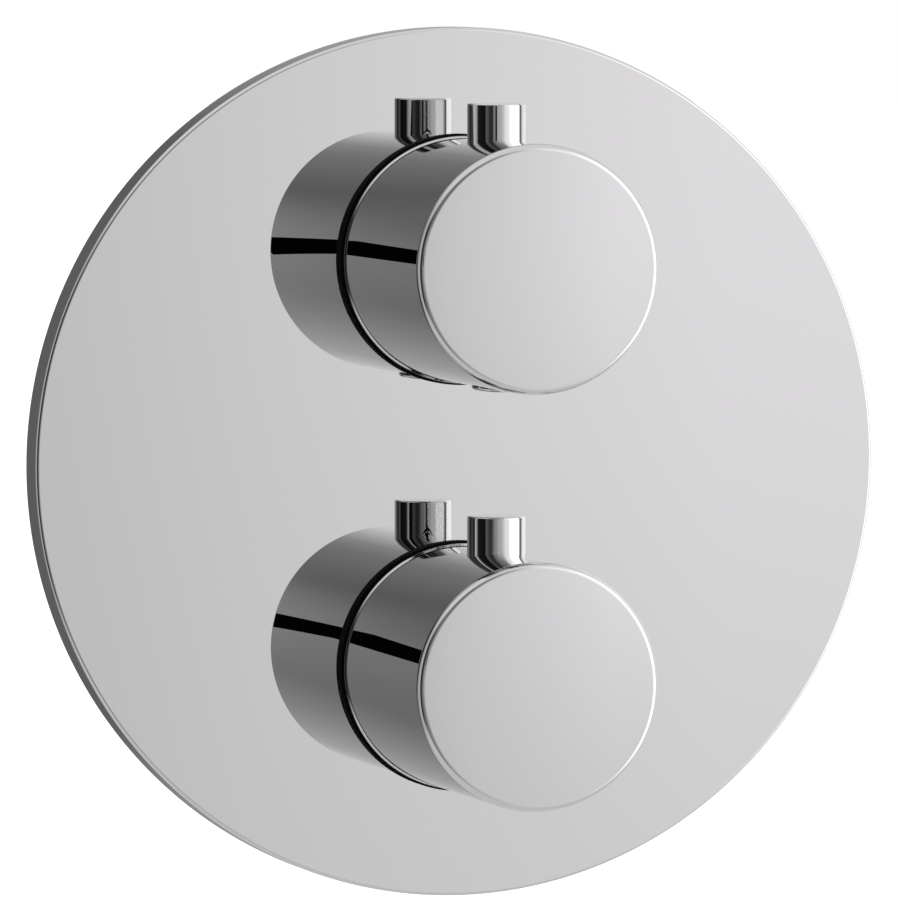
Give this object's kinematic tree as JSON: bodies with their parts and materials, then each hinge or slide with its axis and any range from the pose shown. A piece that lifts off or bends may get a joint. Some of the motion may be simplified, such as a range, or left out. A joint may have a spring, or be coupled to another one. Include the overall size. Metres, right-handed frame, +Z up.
{
  "type": "thermostatic shower valve",
  "caption": "Concealed thermostatic shower valve: round cover plate with a temperature knob above a flow and diverter knob, and the in-wall brass body with its cartridges.",
  "frame": {"origin": "centre of the cover plate's back edge, on the finished wall", "axes": "+X right and +Z up as seen by somebody facing the wall, +Y into the wall; the knobs point along -Y"},
  "size_m": [0.17, 0.1432, 0.17],
  "materials": {
    "polished_chrome": "polished chrome plate on brass",
    "raw_brass": "bare cast and machined brass",
    "nickel_brass": "nickel-washed machined brass",
    "spring_steel": "stainless spring steel",
    "black_rubber": "EPDM rubber",
    "grey_foam": "closed-cell foam",
    "white_acetal": "moulded acetal",
    "black_acetal": "glass-filled black plastic",
    "alumina": "lapped alumina ceramic"
  },
  "bodies": {
    "fixed_valve": {"cover_plate": "polished_chrome", "plate_gasket": "grey_foam", "upper_sleeve": "polished_chrome", "lower_sleeve": "polished_chrome", "sleeve_seals": "black_rubber", "temperature_base_ring": "black_rubber", "flow_base_ring": "black_rubber", "temperature_stop_ring": "white_acetal", "thermostat_bonnet": "nickel_brass", "thermostat_housing": "nickel_brass", "thermostat_seat": "white_acetal", "thermostat_seals": "black_rubber", "return_spring": "spring_steel", "flow_bonnet": "nickel_brass", "flow_housing": "nickel_brass", "flow_fixed_disc": "alumina", "flow_base_seal": "black_rubber", "flow_seal": "black_rubber", "valve_body": "raw_brass", "hot_check_cage": "white_acetal", "hot_check_spring": "spring_steel", "hot_inlet_filter": "spring_steel", "cold_check_cage": "white_acetal", "cold_check_spring": "spring_steel", "cold_inlet_filter": "spring_steel"},
    "temperature_control": {"temperature_knob": "polished_chrome", "temperature_lever_pin": "polished_chrome", "temperature_adaptor": "black_acetal", "temperature_grub_screw": "spring_steel", "temperature_spindle": "nickel_brass", "temperature_spindle_circlip": "spring_steel", "temperature_spindle_seals": "black_rubber", "safety_button_spring": "spring_steel"},
    "safety_button": {"safety_button": "polished_chrome"},
    "thermostat_slide": {"thermostat_plunger": "nickel_brass", "overload_spring": "spring_steel", "overload_cap": "white_acetal", "overload_circlip": "spring_steel", "wax_element": "nickel_brass", "mixing_shuttle": "white_acetal", "shuttle_seal": "black_rubber"},
    "flow_control": {"flow_knob": "polished_chrome", "flow_lever_pin": "polished_chrome", "flow_adaptor": "black_acetal", "flow_grub_screw": "spring_steel", "flow_spindle": "nickel_brass", "flow_spindle_circlip": "spring_steel", "flow_spindle_seals": "black_rubber", "flow_moving_disc": "alumina"},
    "hot_check": {"hot_check_poppet": "white_acetal"},
    "cold_check": {"cold_check_poppet": "white_acetal"}
  },
  "joints": [
    {"name": "temperature_turn", "type": "hinge", "parent": "fixed_valve", "child": "temperature_control", "pos_m": [0, 0, 0.03975], "axis": [0, -1, 0], "range_deg": [-160, 80]},
    {"name": "safety_button_push", "type": "slide", "parent": "temperature_control", "child": "safety_button", "axis": [0, 0, 1], "range_m": [0, 0.0015], "stiffness_N_per_m": 400, "springref_m": -0.002, "deforming": ["safety_button_spring"]},
    {"name": "thermostat_travel", "type": "slide", "parent": "fixed_valve", "child": "thermostat_slide", "axis": [0, 1, 0], "range_m": [-0.0007, 0.00134], "deforming": ["return_spring"]},
    {"name": "flow_turn", "type": "hinge", "parent": "fixed_valve", "child": "flow_control", "pos_m": [0, 0, -0.03975], "axis": [0, -1, 0], "range_deg": [-90, 90]},
    {"name": "hot_check_open", "type": "slide", "parent": "fixed_valve", "child": "hot_check", "axis": [1, 0, 0], "range_m": [0, 0.0025], "stiffness_N_per_m": 60, "springref_m": -0.002, "deforming": ["hot_check_spring"]},
    {"name": "cold_check_open", "type": "slide", "parent": "fixed_valve", "child": "cold_check", "axis": [-1, 0, 0], "range_m": [0, 0.0025], "stiffness_N_per_m": 60, "springref_m": -0.002, "deforming": ["cold_check_spring"]}
  ],
  "couplings": [
    {"joint": "thermostat_travel", "follows": "temperature_turn", "m_per_rad": -0.00047746}
  ]
}
